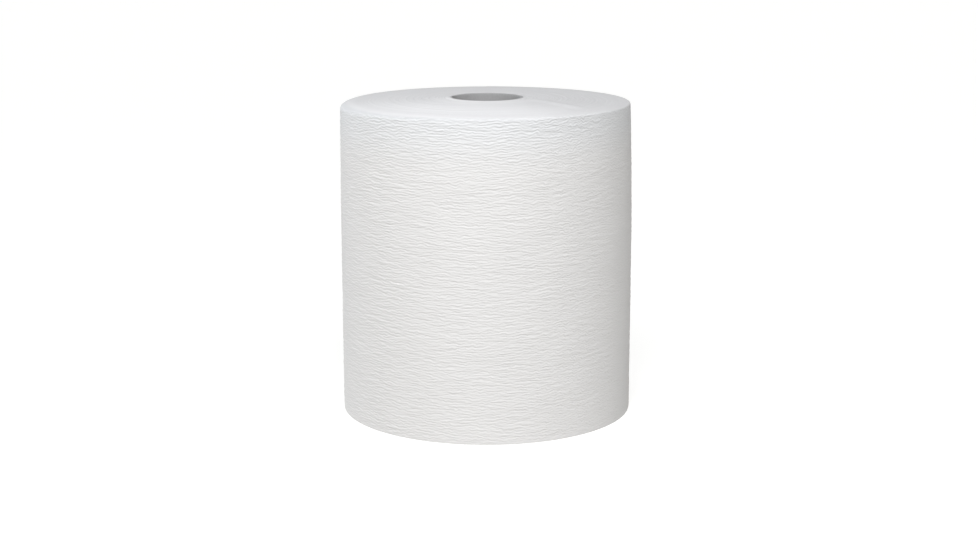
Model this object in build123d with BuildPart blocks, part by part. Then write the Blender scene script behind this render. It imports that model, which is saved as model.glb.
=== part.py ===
from build123d import *
import os

# A hard wound roll of paper towel, standing on its end, in millimetres with +Z up.
# The origin is on the roll's axis at the lower end, and the end of the last turn faces +Y.

# Driving sizes of the wound web
roll_width = 203.2  # the width of the web, which is the height of the standing roll
roll_diameter = 189.0  # across the outer turn
tail_step = 0.3  # how far the last turn ends above the turn beneath it
top_rim = 4.0  # soft rounding of the outer turns at the upper end; the lower end is pressed flat

# Driving sizes of the board tube
core_bore = 44.45
core_wall = 1.5

# Driving sizes of the winding that shows on both ends
turns_shown = 6  # turns of the winding line from the rim to the tube
line_width = 1.0
line_depth = 0.3
line_margin = 1.2  # flat paper between the line and the rim or the tube

# Sizes that follow from them
roll_radius = roll_diameter / 2
core_radius = core_bore / 2 + core_wall
line_start = roll_radius - top_rim - line_margin - line_width / 2
line_end = core_radius + line_margin + line_width / 2
line_pitch = (line_start - line_end) / turns_shown


# A winding is half circles about two centres, which lie a quarter of its pitch to either side of the
# roll's axis along Y. Each half circle runs on into the next, and one turn comes in by one pitch.
# Side 1 is the half at +X and side -1 the half at -X, and both are swept from their section at +Y.
def winding_axis(side, pitch):
    return Axis((0, side * pitch / 4, 0), (0, 0, -side))


with BuildPart() as towel_roll:
    # The web as a solid winding, where the two halves differ at +Y by the step at the tail
    for side in (1, -1):
        centre_y = side * tail_step / 4
        edge_y = roll_radius + side * tail_step / 2
        with BuildSketch(Plane.YZ) as web_section:
            with Locations((centre_y, 0)):
                Rectangle(edge_y - centre_y, roll_width, align=(Align.MIN, Align.MIN))
            fillet(web_section.vertices().group_by(Axis.X)[-1].sort_by(Axis.Y)[-1], top_rim)
        revolve(axis=winding_axis(side, tail_step), revolution_arc=180)

    # The seat of the tube
    Hole(core_radius)

    # The winding line, a shallow valley between turns that spirals in on both ends
    for side in (1, -1):
        turn_ys = [line_start - line_pitch * (turn + (1 - side) / 2) for turn in range(turns_shown)]
        with BuildSketch(Plane.YZ):
            with Locations(*[(y, z) for y in turn_ys for z in (0, roll_width)]):
                Polygon((-line_width / 2, 0), (0, -line_depth), (line_width / 2, 0), (0, line_depth))
        revolve(axis=winding_axis(side, line_pitch), revolution_arc=180, mode=Mode.SUBTRACT)

with BuildPart() as core:
    # The board tube, as long as the web is wide and flush with it
    with BuildSketch():
        Circle(core_radius)
        Circle(core_bore / 2, mode=Mode.SUBTRACT)
    extrude(amount=roll_width)

os.makedirs("parts", exist_ok=True)

towel_roll.part.label = "towel_roll"
export_step(towel_roll.part, "parts/towel_roll.step")

core.part.label = "core"
export_step(core.part, "parts/core.step")
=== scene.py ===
import math

import bmesh
import bpy
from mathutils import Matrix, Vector, noise


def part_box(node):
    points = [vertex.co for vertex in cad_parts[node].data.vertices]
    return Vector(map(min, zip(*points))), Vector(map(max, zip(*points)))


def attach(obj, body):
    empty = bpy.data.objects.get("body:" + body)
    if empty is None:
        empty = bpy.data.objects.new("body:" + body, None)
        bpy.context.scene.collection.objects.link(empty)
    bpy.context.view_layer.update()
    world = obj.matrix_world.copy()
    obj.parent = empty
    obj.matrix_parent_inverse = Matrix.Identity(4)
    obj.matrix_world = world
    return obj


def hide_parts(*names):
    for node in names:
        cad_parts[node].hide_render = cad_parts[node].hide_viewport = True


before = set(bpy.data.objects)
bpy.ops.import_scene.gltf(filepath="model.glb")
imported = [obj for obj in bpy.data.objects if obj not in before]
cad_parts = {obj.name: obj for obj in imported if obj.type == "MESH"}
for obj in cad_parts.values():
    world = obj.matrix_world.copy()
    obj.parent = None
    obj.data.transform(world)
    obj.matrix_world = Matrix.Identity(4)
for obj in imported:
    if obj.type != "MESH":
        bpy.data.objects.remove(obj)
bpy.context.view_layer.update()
webLow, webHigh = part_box("towel_roll")
coreLow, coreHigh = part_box("core")
rollHeight = webHigh.z - webLow.z
rollRadius = (webHigh.x - webLow.x) / 2
seatRadius = (coreHigh.x - coreLow.x) / 2
levelGap = 1e-5  # points closer in height than this count as level
radiusGap = 1e-4  # and closer in radius than this as equally far out
crispAngle = 40  # edges sharper than this many degrees stay crisp
print("frame loaded")


def deselectAll():
    if bpy.context.object and bpy.context.object.mode == "EDIT":
        bpy.ops.object.mode_set(mode="OBJECT")
    bpy.ops.object.select_all(action="DESELECT")


def openTube(name, columns, radius, low, high):
    # a standing tube wall with both ends open, left in edit mode
    deselectAll()
    middle = (0, 0, (low + high) / 2)
    bpy.ops.mesh.primitive_cylinder_add(
        vertices=columns, radius=radius, depth=high - low, end_fill_type="NOTHING", location=middle)
    tube = bpy.context.object
    tube.name = tube.data.name = name
    bpy.ops.object.transform_apply(location=True, rotation=True, scale=True)
    bpy.ops.object.mode_set(mode="EDIT")
    return tube


def selectEdges(piece, wanted):
    # in edit mode, selects the edges for which wanted(edge) is true
    mesh = bmesh.from_edit_mesh(piece.data)
    bpy.ops.mesh.select_all(action="DESELECT")
    bpy.ops.mesh.select_mode(type="EDGE")
    for edge in mesh.edges:
        edge.select = wanted(edge)
    mesh.select_flush_mode()
    bmesh.update_edit_mesh(piece.data)


def radiusOf(vert):
    return math.hypot(vert.co.x, vert.co.y)


def isUpright(edge):
    return abs(edge.verts[0].co.z - edge.verts[1].co.z) > levelGap


def isRadial(edge):
    return not isUpright(edge) and abs(radiusOf(edge.verts[0]) - radiusOf(edge.verts[1])) > radiusGap


def cutEdges(piece, wanted, cuts):
    # cuts the wanted edges into strips, in steps because one step has few cuts
    for count in cuts:
        selectEdges(piece, wanted)
        bpy.ops.mesh.subdivide(number_cuts=count)


def finishPiece(piece, material, node):
    bpy.ops.object.mode_set(mode="EDIT")
    bpy.ops.mesh.select_all(action="SELECT")
    bpy.ops.mesh.normals_make_consistent(inside=False)
    bpy.ops.object.mode_set(mode="OBJECT")
    piece.data.materials.clear()
    piece.data.materials.append(material)
    bpy.ops.object.shade_smooth_by_angle(angle=math.radians(crispAngle))
    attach(piece, "root")
    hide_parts(node)
    triangles = sum(len(face.vertices) - 2 for face in piece.data.polygons)
    print(piece.name, "done,", triangles, "triangles")


def stretched(point, wide, tall, seed):
    # smooth noise whose features are wide round the roll and tall along it
    return noise.noise(Vector((point.x / wide + seed, point.y / wide - seed, point.z / tall + 3 * seed)))


ends = {
    "crown": 0.0028,  # how far the upper end stands higher at the tube than at the rim
    "crownPower": 1.7,
    "crownInset": 0.0013,  # how far in from the side the end is that much lower
    "split": 0.0830,  # radius where the outer turns take over from the inner ones
    "drawFrom": 0.09,  # height from which the side gets narrower
    "softSide": -82,  # azimuth of the softest rim, from the front and positive to the right
    "softPower": 1.8,  # the higher, the sooner the rim gets crisp away from there
    # the next four are for the crispest and the softest place of the upper rim
    "drawIn": (0.0020, 0.0005),  # how much narrower the side is there
    "rimWide": (0.0010, 0.0085),  # reach of the rounding along the end
    "rimTall": (0.0010, 0.0034),  # and down the side
    "rimCrepe": (0.95, 0.4),  # how far the crepe goes up it, as a part of a right angle
}
topRadius = rollRadius - ends["crownInset"]


def endHeight(radius):
    # the upper end is drawn up a little towards the tube
    share = max(0, (radius - seatRadius) / (topRadius - seatRadius))
    return rollHeight - ends["crown"] * share ** ends["crownPower"]


def rimSize(angle):
    # the last four of those sizes at one place; angles run from the back by way of +X
    share = (0.5 + 0.5 * math.cos(angle - math.radians(180 - ends["softSide"]))) ** ends["softPower"]
    plan = (ends["drawIn"], ends["rimWide"], ends["rimTall"], ends["rimCrepe"])
    return [crisp + (soft - crisp) * share for crisp, soft in plan]


def newMaterial(name, roughness, specular):
    material = bpy.data.materials.new(name)
    material.use_nodes = True
    tree = material.node_tree
    shader = tree.nodes["Principled BSDF"]
    shader.inputs["Roughness"].default_value = roughness
    shader.inputs["Specular IOR Level"].default_value = specular
    place = tree.nodes.new("ShaderNodeTexCoord").outputs["Object"]
    return material, tree, shader, place


def feed(tree, socket, value):
    if isinstance(value, (int, float, tuple)):
        socket.default_value = value
    else:
        tree.links.new(value, socket)


def calc(tree, operation, *values):
    node = tree.nodes.new("ShaderNodeMath")
    node.operation = operation
    for socket, value in zip(node.inputs, values):
        feed(tree, socket, value)
    return node.outputs[0]


def vectorCalc(tree, operation, *values):
    node = tree.nodes.new("ShaderNodeVectorMath")
    node.operation = operation
    for socket, value in zip(node.inputs, values):
        feed(tree, socket, value)
    return node.outputs["Value" if operation in ("LENGTH", "DOT_PRODUCT") else "Vector"]


def total(tree, result, *values):
    for value in values:
        result = calc(tree, "ADD", result, value)
    return result


def product(tree, result, *values):
    for value in values:
        result = calc(tree, "MULTIPLY", result, value)
    return result


def splitAxes(tree, place):
    split = tree.nodes.new("ShaderNodeSeparateXYZ")
    tree.links.new(place, split.inputs[0])
    return split.outputs


def radiusFrom(tree, place):
    return vectorCalc(tree, "LENGTH", vectorCalc(tree, "MULTIPLY", place, (1, 1, 0)))


def grain(tree, place, wide, tall, seed, detail=0):
    # signed noise, wide round the roll and tall along it
    mapping = tree.nodes.new("ShaderNodeMapping")
    mapping.inputs["Location"].default_value = (seed, -seed, 3 * seed)
    mapping.inputs["Scale"].default_value = (1 / wide, 1 / wide, 1 / tall)
    tree.links.new(place, mapping.inputs["Vector"])
    field = tree.nodes.new("ShaderNodeTexNoise")
    field.normalize = False
    field.inputs["Scale"].default_value = 1
    field.inputs["Detail"].default_value = detail
    tree.links.new(mapping.outputs[0], field.inputs["Vector"])
    return field.outputs["Fac"]


def bumpFrom(tree, shader, height):
    bump = tree.nodes.new("ShaderNodeBump")
    bump.inputs["Distance"].default_value = 1
    tree.links.new(height, bump.inputs["Height"])
    tree.links.new(bump.outputs["Normal"], shader.inputs["Normal"])


def ramp(tree, value, start, end, low, high):
    node = tree.nodes.new("ShaderNodeMapRange")
    node.interpolation_type = "SMOOTHSTEP"
    for socket, number in zip(list(node.inputs)[1:5], (start, end, low, high)):
        socket.default_value = number
    tree.links.new(value, node.inputs["Value"])
    return node.outputs["Result"]


def blend(tree, share, first, second):
    node = tree.nodes.new("ShaderNodeMix")
    node.data_type = "VECTOR"
    tree.links.new(share, node.inputs[0])
    feed(tree, node.inputs[4], first)
    feed(tree, node.inputs[5], second)
    return node.outputs[1]


def tint(tree, shader, colour, amount):
    # the base colour, made lighter and darker by a signed amount
    scale = tree.nodes.new("ShaderNodeVectorMath")
    scale.operation = "SCALE"
    feed(tree, scale.inputs[0], colour)
    tree.links.new(calc(tree, "ADD", amount, 1), scale.inputs["Scale"])
    tree.links.new(scale.outputs[0], shader.inputs["Base Color"])


endLook = {
    "colour": (0.681, 0.673, 0.672),
    "roughness": 0.95,
    "specular": 0.15,
    "lineWide": 0.0007,  # the turn lines, as fine as single turns
    "lineRise": 0.00003,
    "lineShade": 0.02,
    "bandWide": 0.0045,  # bands of many turns
    "bandRise": 0.00008,
    "bandShade": 0.02,
    "drift": (0.05, 0.05),  # lines and bands wander off a true circle over this distance
    "driftRise": 0.004,
    "fluff": (0.0006, 0.0006),
    "fluffRise": 0.00002,
    "fluffShade": 0.015,
    "paintedLightSide": (-0.22, -0.975, 0),  # direction in which the end is painted paler, painted light on the side that faces the lamps
    "paintedLightFrom": (0.008, 0.066),  # distances that way between which it does
    "paintedLightAmount": 0.175,
    "paintedLightLeft": (-0.085, -0.03, 0.6, 1),  # distances to the right, and the share of the painted light at each
    "paintedLightRight": (0.022, 0.058, 1, 0.55),
    "paintedLipRadius": (0.028, 0.045),  # the ring round the tube that is painted paler, painted light on the side that faces the lamps
    "paintedLipFrom": (0, 0.016),  # distances towards the pale side between which it comes up
    "paintedLipAmount": 0.08,
}


def paintedEndLight(tree, place):
    # painted light: the upper end is painted paler on the side that faces the lamps, most so in the middle
    # there and round the tube; the lower end gets the same
    look = endLook
    across = splitAxes(tree, place)["X"]
    towards = vectorCalc(tree, "DOT_PRODUCT", place, look["paintedLightSide"])
    paintedLight = ramp(tree, towards, *look["paintedLightFrom"], 0, look["paintedLightAmount"])
    left, right = ramp(tree, across, *look["paintedLightLeft"]), ramp(tree, across, *look["paintedLightRight"])
    # painted light: a paler ring round the tube, only towards the lamps
    paintedLip = ramp(tree, radiusFrom(tree, place), *look["paintedLipRadius"], look["paintedLipAmount"], 0)
    paintedLipShare = ramp(tree, towards, *look["paintedLipFrom"], 0, 1)
    return total(tree, product(tree, paintedLight, left, right), product(tree, paintedLip, paintedLipShare))


crepedLook = {
    "colour": (0.633, 0.622, 0.611),
    "rimColour": (0.617, 0.619, 0.622),
    "roughness": 0.9,
    "specular": 0.2,
    "wave": 0.00178,  # distance from fold to fold
    "patch": (0.0050, 0.0042),  # width and height over which a fold stays the same
    "kink": (0.0024, 0.0030),  # and over which its small kinks do
    "kinkRise": 0.00065,
    "kinkSide": (0.015, 0.055, 1, 2.0),  # distances to the right, and how strong the kinks are at each
    "sway": 0.6,  # how freely the folds leave the level; at 0 they are all level
    "even": 0.095,  # 0 makes all folds as high as each other
    "foldRise": 0.000085,
    "foldPaintedShade": (0.071, 0.1349),  # painted light and shade: how much lighter a fold's upward slope is painted, and its downward slope darker, on the side and at the rim
    # distances to the right between which the crepe gets calmer, and the share that is left
    "calm": ((0.040, 0.088, 0.5), (-0.060, -0.092, 0.6)),
    "fibre": (0.0006, 0.0004),
    "fibreRise": 0.00002,
    "cloud": (0.03, 0.02),
    "cloudShade": 0.012,
    "rimFrom": (0.165, 0.200),  # heights between which the side changes to the look of the rim
    "endFrom": (0.1992, 0.2008),  # and from there to the colour of the end
}


def foldBand(tree, place, height):
    # height and upward slope of folds that run round the roll, part and join:
    # two noises on a cosine and a sine, whose size is evened out
    look = crepedLook
    turn = product(tree, height, math.tau / look["wave"])
    cosine, sine = calc(tree, "COSINE", turn), calc(tree, "SINE", turn)
    level = grain(tree, place, *look["patch"], seed=11)
    swing = product(tree, grain(tree, place, *look["patch"], seed=51), look["sway"])
    size = total(tree, product(tree, level, level), product(tree, swing, swing), look["even"])
    size = calc(tree, "SQRT", size)
    fold = total(tree, product(tree, level, cosine), product(tree, swing, sine))
    slope = calc(tree, "SUBTRACT", product(tree, level, sine), product(tree, swing, cosine))
    return calc(tree, "DIVIDE", fold, size), calc(tree, "DIVIDE", slope, size)


def makeCrepedPaper():
    look = crepedLook
    material, tree, shader, place = newMaterial("creped_paper", look["roughness"], look["specular"])
    spot = splitAxes(tree, place)
    kink = product(tree, grain(tree, place, *look["kink"], seed=5), look["kinkRise"])
    kink = product(tree, kink, ramp(tree, spot["X"], *look["kinkSide"]))
    fold, slope = foldBand(tree, place, total(tree, spot["Z"], kink))
    # the mesh carries the share of the crepe that each place has
    share = tree.nodes.new("ShaderNodeAttribute")
    share.attribute_name = "crepe"
    calm = share.outputs["Fac"]
    for near, far, low in look["calm"]:
        calm = product(tree, calm, ramp(tree, spot["X"], near, far, 1, low))
    fibre = product(tree, grain(tree, place, *look["fibre"], seed=3, detail=2), look["fibreRise"])
    bumpFrom(tree, shader, total(tree, product(tree, fold, calm, look["foldRise"]), fibre))
    # painted light and shade: each fold's upward slope is painted lighter and its downward slope darker,
    # more so towards the rim
    shade = product(tree, slope, calm, ramp(tree, spot["Z"], *look["rimFrom"], *look["foldPaintedShade"]))
    cloud = product(tree, grain(tree, place, *look["cloud"], seed=8, detail=2), look["cloudShade"])
    rim = ramp(tree, spot["Z"], *look["rimFrom"], 0, 1)
    top = ramp(tree, spot["Z"], *look["endFrom"], 0, 1)
    colour = blend(tree, top, blend(tree, rim, look["colour"], look["rimColour"]), endLook["colour"])
    # painted light: near the upper end the side takes on the end's painted paleness
    tint(tree, shader, colour, total(tree, shade, cloud, product(tree, paintedEndLight(tree, place), top)))
    return material


def makeTurnEdges():
    look = endLook
    material, tree, shader, place = newMaterial("turn_edges", look["roughness"], look["specular"])
    drift = product(tree, grain(tree, place, *look["drift"], seed=2), look["driftRise"])
    ring = tree.nodes.new("ShaderNodeCombineXYZ")
    tree.links.new(radiusFrom(tree, place), ring.inputs["X"])
    tree.links.new(drift, ring.inputs["Y"])
    lines = grain(tree, ring.outputs[0], look["lineWide"], 1, seed=6, detail=1)
    bands = grain(tree, ring.outputs[0], look["bandWide"], 1, seed=9, detail=1)
    fluff = grain(tree, place, *look["fluff"], seed=4, detail=2)
    fields = {"line": lines, "band": bands, "fluff": fluff}
    rise = [product(tree, field, look[name + "Rise"]) for name, field in fields.items()]
    shade = [product(tree, field, look[name + "Shade"]) for name, field in fields.items()]
    bumpFrom(tree, shader, total(tree, *rise))
    # painted light on the ends, added to the tone of the turn lines, bands and fluff
    tint(tree, shader, look["colour"], total(tree, paintedEndLight(tree, place), *shade))
    return material


boardLook = {
    "colour": (0.418, 0.413, 0.411),
    "roughness": 0.8,
    "specular": 0.3,
    "fibre": (0.0009, 0.0016),
    "fibreRise": 0.00003,
    "fibreShade": 0.06,
    "cloud": (0.012, 0.02),
    "cloudShade": 0.03,
    "paintedLightFrom": (-0.0225, -0.010),  # distances to the right between which the board is painted a little paler: painted light on the bore's left wall, which lies in shade
    "paintedLightAmount": 0.38,
}


def makeGreyBoard():
    look = boardLook
    material, tree, shader, place = newMaterial("grey_board", look["roughness"], look["specular"])
    fibre = grain(tree, place, *look["fibre"], seed=1, detail=3)
    cloud = grain(tree, place, *look["cloud"], seed=2, detail=2)
    # painted light: the bore's left wall is painted paler where it lies in shade
    paintedLight = ramp(tree, splitAxes(tree, place)["X"], *look["paintedLightFrom"], look["paintedLightAmount"], 0)
    bumpFrom(tree, shader, product(tree, fibre, look["fibreRise"]))
    tint(tree, shader, look["colour"], total(
        tree, paintedLight, product(tree, fibre, look["fibreShade"]), product(tree, cloud, look["cloudShade"])))
    return material


crepedPaper = makeCrepedPaper()
turnEdges = makeTurnEdges()
greyBoard = makeGreyBoard()
print("materials made")


outerTurns = {
    "columns": 368,
    "rowCuts": (10, 23),
    "inset": 0.0003,  # how far the mean surface lies inside the solid, which leaves room for the folds
    # inset, height and share of the crepe of the rows at the lower edge
    "foot": ((0.0020, 0, 0), (0.0006, 0, 0), (0.00015, 0.00018, 0.1), (0, 0.0007, 0.3)),
    "footCrepe": 0.4,  # share of the crepe just above them
    "footFade": 0.004,  # and it grows by 1 over this height
    "rimRows": 11,
    "lap": 0.0008,  # how far the mesh goes on along the upper end, past the rim
    "endMargin": 0.0002,  # faces whose middle lies this far past the rim or more are end
    "wallColumns": 96,
    "tailStep": 0.0003,
    "tailTall": 0.02,  # height over which the free end's edge wanders
    "tailWander": 0.0004,
    "sheet": 0.00024,  # thickness of the loose end
    "flapColumns": 9,
    "flapLength": 0.015,
    "flapLift": 0.0014,
    "liftShare": (0.6, 0.8, 0.1),  # mean, variation and least of the share of that lift along the edge
    "liftTall": 0.07,
    "slotCrepe": 0.3,  # share of the crepe beneath the loose end
    "wave": 0.0035,  # distance from one broad fold to the next
    "wavePatch": (0.0080, 0.0040),
    "waveSway": 0.7,
    "waveRise": 0.00046,
    "wander": (0.022, 0.026),
    "wanderRise": 0.0007,
    "pucker": (0.026, 0.013),
    "puckerRise": 0.00028,
}


def crepeHeight(point):
    # the broad folds of the crepe; the finer ones are in the material
    plan = outerTurns
    wander = plan["wanderRise"] * stretched(point, *plan["wander"], seed=5)
    turn = math.tau * (point.z + wander) / plan["wave"]
    level = stretched(point, *plan["wavePatch"], seed=0)
    swing = plan["waveSway"] * stretched(point, *plan["wavePatch"], seed=31)
    fold = level * math.cos(turn) + swing * math.sin(turn)
    rise = plan["waveRise"] * fold + plan["puckerRise"] * stretched(point, *plan["pucker"], seed=17)
    for near, far, low in crepedLook["calm"]:
        rise *= 1 - (1 - low) * max(0, min(1, (point.x - near) / (far - near)))
    return rise


def sideProfile(rows, angle):
    # inset from the outer surface, height, share of the crepe and tilt, from the lower end up
    plan = outerTurns
    drawIn, wide, tall, climb = rimSize(angle)
    outer = rollRadius - plan["inset"] - drawIn
    straight = endHeight(outer) - tall
    profile = [(inset, height, crepe, 0) for inset, height, crepe in plan["foot"]]
    footTop = profile[-1][1]
    sideRows = rows - len(profile) - plan["rimRows"] - 1
    for row in range(sideRows):
        height = footTop + (straight - footTop) * (row + 1) / sideRows
        drawn = max(0, (height - ends["drawFrom"]) / (straight - ends["drawFrom"])) ** 2
        profile.append((drawIn * drawn, height, min(1, plan["footCrepe"] + height / plan["footFade"]), 0))
    for row in range(1, plan["rimRows"] + 1):
        share = row / plan["rimRows"]
        turn = math.pi / 2 * share
        reach = wide * (1 - math.cos(turn))
        height = endHeight(outer - reach) - tall * (1 - math.sin(turn))
        profile.append((drawIn + reach, height, max(0, 1 - (share / climb) ** 2), turn))
    profile.append((drawIn + wide + plan["lap"], endHeight(outer - wide - plan["lap"]), 0, 0))
    return profile


def edgeNoise(height, tall, seed):
    return noise.noise(Vector((height / tall, seed, 0)))


def makeOuterTurns():
    plan = outerTurns
    columns, back = plan["columns"], plan["flapColumns"]
    front = columns - 1 - back
    piece = openTube("outer_turns", columns, rollRadius, 0, rollHeight)
    cutEdges(piece, isUpright, plan["rowCuts"])
    rows = (plan["rowCuts"][0] + 1) * (plan["rowCuts"][1] + 1)
    radius = rollRadius - plan["inset"]
    flapAngle = plan["flapLength"] / radius
    liftMean, liftVary, liftLeast = plan["liftShare"]
    profiles = [sideProfile(rows + 1, math.tau * column / front) for column in range(front + 1)]
    profiles += [profiles[0]] * back
    mesh = bmesh.from_edit_mesh(piece.data)
    share = mesh.verts.layers.float.new("crepe")
    for vert in mesh.verts:
        column = round(math.atan2(vert.co.x, vert.co.y) % math.tau / math.tau * columns) % columns
        inset, height, crepe, tilt = profiles[column][round(vert.co.z / rollHeight * rows)]
        # outer face clockwise from the free end, on beneath it, then back along its underside
        under = column > front
        if under:
            angle = flapAngle * (columns - 1 - column) / back
        else:
            angle = (math.tau + flapAngle) * column / front
        reach = radius + plan["tailStep"] * (0.5 - angle / math.tau)
        loose = max(0, 1 - angle / flapAngle)
        lift = max(liftLeast, liftMean + liftVary * edgeNoise(height, plan["liftTall"], seed=4.2))
        reach += plan["flapLift"] * lift * loose ** 2
        if under:
            reach -= plan["sheet"]
        wander = plan["tailWander"] * edgeNoise(height, plan["tailTall"], seed=9.1)
        angle -= wander * loose / radius
        spot = Vector((radius * math.sin(angle), radius * math.cos(angle), height))
        vert[share] = crepe
        rise = crepe * crepeHeight(spot)
        if under or angle > math.tau:
            rise *= plan["slotCrepe"]
        reach += rise * math.cos(tilt) - inset
        vert.co = (reach * math.sin(angle), reach * math.cos(angle), height + rise * math.sin(tilt))
    bmesh.update_edit_mesh(piece.data)
    # the hidden inner wall, then the strips that join it to both ends
    bpy.ops.mesh.select_all(action="DESELECT")
    bpy.ops.mesh.primitive_cylinder_add(
        vertices=plan["wallColumns"], radius=ends["split"], depth=rollHeight, end_fill_type="NOTHING",
        location=(0, 0, rollHeight / 2))
    mesh = bmesh.from_edit_mesh(piece.data)
    for vert in mesh.verts:
        if vert.select and vert.co.z > rollHeight / 2:
            vert.co.z = endHeight(ends["split"])
    bmesh.update_edit_mesh(piece.data)
    for upper in (True, False):
        selectEdges(piece, lambda edge: edge.is_boundary and (edge.verts[0].co.z > rollHeight / 2) == upper)
        bpy.ops.mesh.fill(use_beauty=True)
    finishPiece(piece, crepedPaper, "towel_roll")
    # past the rim, both ends show the edges of the turns
    piece.data.materials.append(turnEdges)
    for face in piece.data.polygons:
        drawIn, wide = rimSize(math.atan2(face.center.x, face.center.y))[:2]
        if math.hypot(face.center.x, face.center.y) < radius - drawIn - wide + plan["endMargin"]:
            face.material_index = 1


innerTurns = {
    "spokes": 288,
    "ringCuts": (9, 14),
    "gap": 0.00004,  # to the outer turns
    "tubeGap": 0.00001,
    "bandDepth": 0.00022,  # bands of turns that stand a little lower
    "bandWide": 0.0016,
    "bandDrift": 1.3,  # how much they change round the roll
    "fineBand": (2.3, 0.3),  # how much finer the second set of bands is, and how strong
    "lineTurns": 6,
    "lineWidth": 0.0011,
    "lineDepth": 0.00010,
    "collarFrom": (0.00125, 0.0025),  # distances from the tube within which the turns stand a little higher
    "collarRise": 0.00025,
    "fade": (0.001, 0.006),  # distances over which all of these fade to the tube and to the outer turns
    "crease": ((0.027, -0.010), (0.064, -0.0520)),  # a faint ridge pressed into the upper end
    "creaseWide": 0.0075,
    "creaseEnd": 0.25,  # part of its length over which it fades at either end
    "creaseRise": 0.0006,
}


def endRelief(spot, radius):
    # how much lower than the end's even surface a place is
    plan = innerTurns
    fromTube, fromSplit = radius - seatRadius, ends["split"] - radius
    angle = math.atan2(spot.x, spot.y) % math.tau
    drift = plan["bandDrift"]
    swirl = Vector((radius / plan["bandWide"], drift * math.cos(angle), drift * math.sin(angle)))
    finer, strength = plan["fineBand"]
    band = 0.5 + 0.5 * noise.noise(swirl) + strength * noise.noise(finer * swirl)
    # the one turn line that can be followed from the rim to the tube
    pitch = (ends["split"] - seatRadius) / plan["lineTurns"]
    phase = (fromSplit / pitch - angle / math.tau) % 1
    line = max(0, 1 - min(phase, 1 - phase) * pitch / (plan["lineWidth"] / 2))
    collarStart, collarEnd = plan["collarFrom"]
    collar = max(0, min(1, (collarEnd - fromTube) / (collarEnd - collarStart)))
    dip = plan["bandDepth"] * max(0, band) + plan["lineDepth"] * line + plan["collarRise"] * (1 - collar)
    tubeFade, splitFade = plan["fade"]
    return dip * max(0, min(1, fromTube / tubeFade, fromSplit / splitFade))


def creaseHeight(spot):
    plan = innerTurns
    start, end = (Vector(corner) for corner in plan["crease"])
    along = (spot.xy - start).dot(end - start) / (end - start).length_squared
    nearest = start + max(0, min(1, along)) * (end - start)
    away = (spot.xy - nearest).length / plan["creaseWide"]
    rise = 0.5 + 0.5 * math.cos(math.pi * min(1, away))
    fade = max(0, min(1, along / plan["creaseEnd"], (1 - along) / plan["creaseEnd"]))
    return plan["creaseRise"] * rise * fade


def makeInnerTurns():
    plan = innerTurns
    outside, inside = ends["split"] - plan["gap"], seatRadius + plan["tubeGap"]
    share = inside / outside
    piece = openTube("inner_turns", plan["spokes"], outside, 0, rollHeight)
    for upper in (True, False):
        selectEdges(piece, lambda edge: edge.is_boundary and not isUpright(edge)
                    and (edge.verts[0].co.z > rollHeight / 2) == upper)
        bpy.ops.mesh.extrude_edges_move()
        bpy.ops.transform.resize(value=(share, share, 1), center_override=(0, 0, 0))
    selectEdges(piece, lambda edge: edge.is_boundary)
    bpy.ops.mesh.bridge_edge_loops()
    cutEdges(piece, isRadial, plan["ringCuts"])
    mesh = bmesh.from_edit_mesh(piece.data)
    for vert in mesh.verts:
        radius = radiusOf(vert)
        relief = endRelief(vert.co, radius)
        if vert.co.z > rollHeight / 2:
            vert.co.z = endHeight(radius) - relief + creaseHeight(vert.co)
        else:
            vert.co.z = relief
    bmesh.update_edit_mesh(piece.data)
    finishPiece(piece, turnEdges, "towel_roll")


coreTube = {
    "columns": 128,
    "rowCuts": (9, 11),
    "gap": 0.00004,  # to the inner turns
    "wall": 0.0015,
    "edge": 0.00025,  # width of its broken edges
    "edgeRows": 3,
    "boreMargin": 0.0002,  # points this close to the bore are on it
    "seamPitch": 0.088,
    "seamWidth": 0.0012,
    "seamDepth": 0.00015,
}


def makeCoreTube():
    plan = coreTube
    piece = openTube("core_tube", plan["columns"], seatRadius - plan["gap"], 0, rollHeight)
    cutEdges(piece, isUpright, plan["rowCuts"])
    bpy.ops.object.mode_set(mode="OBJECT")
    wall = piece.modifiers.new("wall", "SOLIDIFY")
    wall.thickness = plan["wall"] - plan["gap"]
    wall.offset = -1
    wall.use_even_offset = True
    bpy.ops.object.modifier_apply(modifier="wall")
    edge = piece.modifiers.new("edge", "BEVEL")
    edge.width = plan["edge"]
    edge.segments = plan["edgeRows"]
    edge.limit_method = "ANGLE"
    edge.angle_limit = math.radians(crispAngle)
    bpy.ops.object.modifier_apply(modifier="edge")
    # the winding seam of the innermost ply
    bore = seatRadius - plan["wall"]
    for vert in piece.data.vertices:
        if radiusOf(vert) < bore + plan["boreMargin"]:
            angle = math.atan2(vert.co.x, vert.co.y) / math.tau
            phase = (vert.co.z / plan["seamPitch"] - angle) % 1
            away = min(phase, 1 - phase) * plan["seamPitch"]
            dip = 1 + plan["seamDepth"] / bore * max(0, 1 - away / plan["seamWidth"])
            vert.co.x *= dip
            vert.co.y *= dip
    finishPiece(piece, greyBoard, "core")


makeOuterTurns()
makeInnerTurns()
makeCoreTube()
deselectAll()


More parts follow.
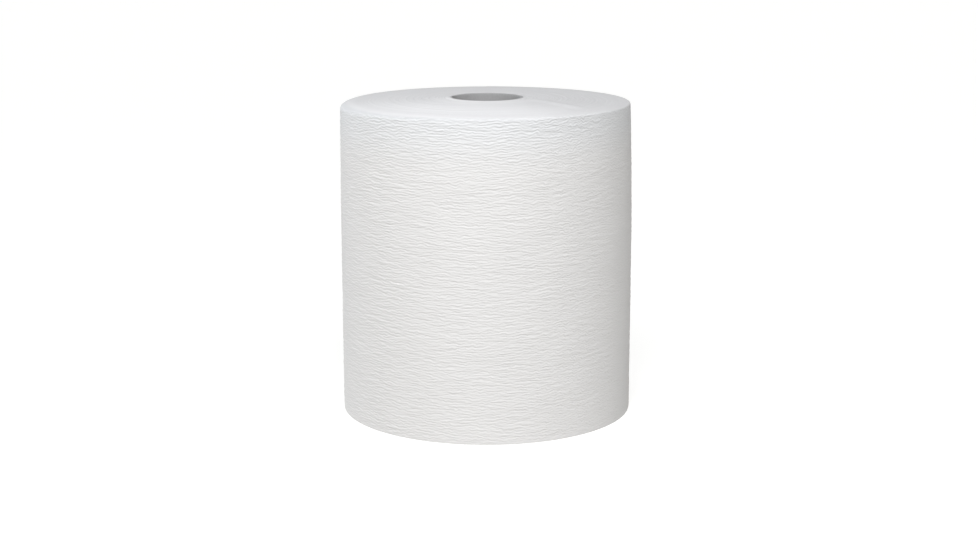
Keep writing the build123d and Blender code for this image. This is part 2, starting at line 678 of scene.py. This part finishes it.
studio = {
    "floorSize": 60,
    "floorColour": (0.32, 0.32, 0.316),
    "floorGlow": 0.78,
    "floorTint": (1.0, 0.997, 0.985, 1),
    "bandGlow": 0.88,  # the pale band of sky along the horizon
    "skyGlow": 0.03,  # the sky above it
    "bandTop": (0.16, 0.22),  # how far up one passes into the other; 1 is straight up
    "rightFrom": (0.3, 0.8),  # how far to the right the sky's light gives out
    "rightGlow": 0.0,  # share of it that is left there
    # azimuth runs from the front, positive to the right; strength is what white paper facing it gets
    "keyLight": {"azimuth": 5, "elevation": 52, "distance": 3, "strength": 0.735, "softness": 34,
                 "colour": (0.99, 1.0, 1.015)},
    "nearLight": {"azimuth": -14, "elevation": 50, "distance": 0.8, "strength": 0.345, "size": 0.3,
                  "colour": (0.98, 1.0, 1.03)},
    "sideLight": {"azimuth": -129, "elevation": 6, "distance": 3, "strength": 0.60, "softness": 40,
                  "colour": (0.95, 1.0, 1.06)},
    "cameraAt": (0, -1.1170, 0.3260),
    "cameraAim": (0.0017, 0, 0.0864),
    "lens": 64.2,
    "sensor": 36,
    "sight": (0.01, 100),  # nearest and farthest that the camera sees
}


def makeFloor():
    deselectAll()
    bpy.ops.mesh.primitive_plane_add(size=studio["floorSize"], location=(0, 0, 0))
    floor = bpy.context.object
    floor.name = "floor"
    material = newMaterial("pale_floor", 1, 0)[0]
    shader = material.node_tree.nodes["Principled BSDF"]
    shader.inputs["Base Color"].default_value = (*studio["floorColour"], 1)
    shader.inputs["Emission Color"].default_value = studio["floorTint"]
    shader.inputs["Emission Strength"].default_value = studio["floorGlow"]
    floor.data.materials.append(material)


def makeSky():
    world = bpy.data.worlds.new("studio")
    bpy.context.scene.world = world
    world.use_nodes = True
    tree = world.node_tree
    direction = splitAxes(tree, tree.nodes.new("ShaderNodeTexCoord").outputs["Generated"])
    fade = ramp(tree, direction["Z"], *studio["bandTop"], studio["bandGlow"], studio["skyGlow"])
    side = ramp(tree, direction["X"], *studio["rightFrom"], 1, studio["rightGlow"])
    background = tree.nodes["Background"]
    background.inputs["Color"].default_value = (1, 1, 1, 1)
    tree.links.new(product(tree, fade, side), background.inputs["Strength"])


def hangLight(name, kind, plan):
    light = bpy.data.lights.new(name, kind)
    light.color = plan["colour"]
    lamp = bpy.data.objects.new(name, light)
    around, up = math.radians(plan["azimuth"]), math.radians(plan["elevation"])
    towards = Vector((math.sin(around) * math.cos(up), -math.cos(around) * math.cos(up), math.sin(up)))
    lamp.location = Vector((0, 0, rollHeight / 2)) + towards * plan["distance"]
    lamp.rotation_euler = towards.to_track_quat("Z", "Y").to_euler()
    bpy.context.scene.collection.objects.link(lamp)
    return light


def makeLights():
    for name in ("keyLight", "sideLight"):
        plan = studio[name]
        light = hangLight(name, "SUN", plan)
        light.angle = math.radians(plan["softness"])
        light.energy = plan["strength"] * math.pi
    near = studio["nearLight"]
    light = hangLight("nearLight", "AREA", near)
    light.shape = "SQUARE"
    light.size = near["size"]
    light.energy = near["strength"] * (math.pi * near["distance"]) ** 2


def makeCamera():
    data = bpy.data.cameras.new("camera")
    data.lens = studio["lens"]
    data.sensor_width = studio["sensor"]
    data.clip_start, data.clip_end = studio["sight"]
    camera = bpy.data.objects.new("camera", data)
    camera.location = studio["cameraAt"]
    aim = Vector(studio["cameraAim"]) - camera.location
    camera.rotation_euler = aim.to_track_quat("-Z", "Y").to_euler()
    bpy.context.scene.collection.objects.link(camera)
    bpy.context.scene.camera = camera


makeFloor()
makeSky()
makeLights()
makeCamera()
bpy.context.scene.view_settings.view_transform = "Standard"
bpy.context.scene.view_settings.look = "None"
print("studio ready")
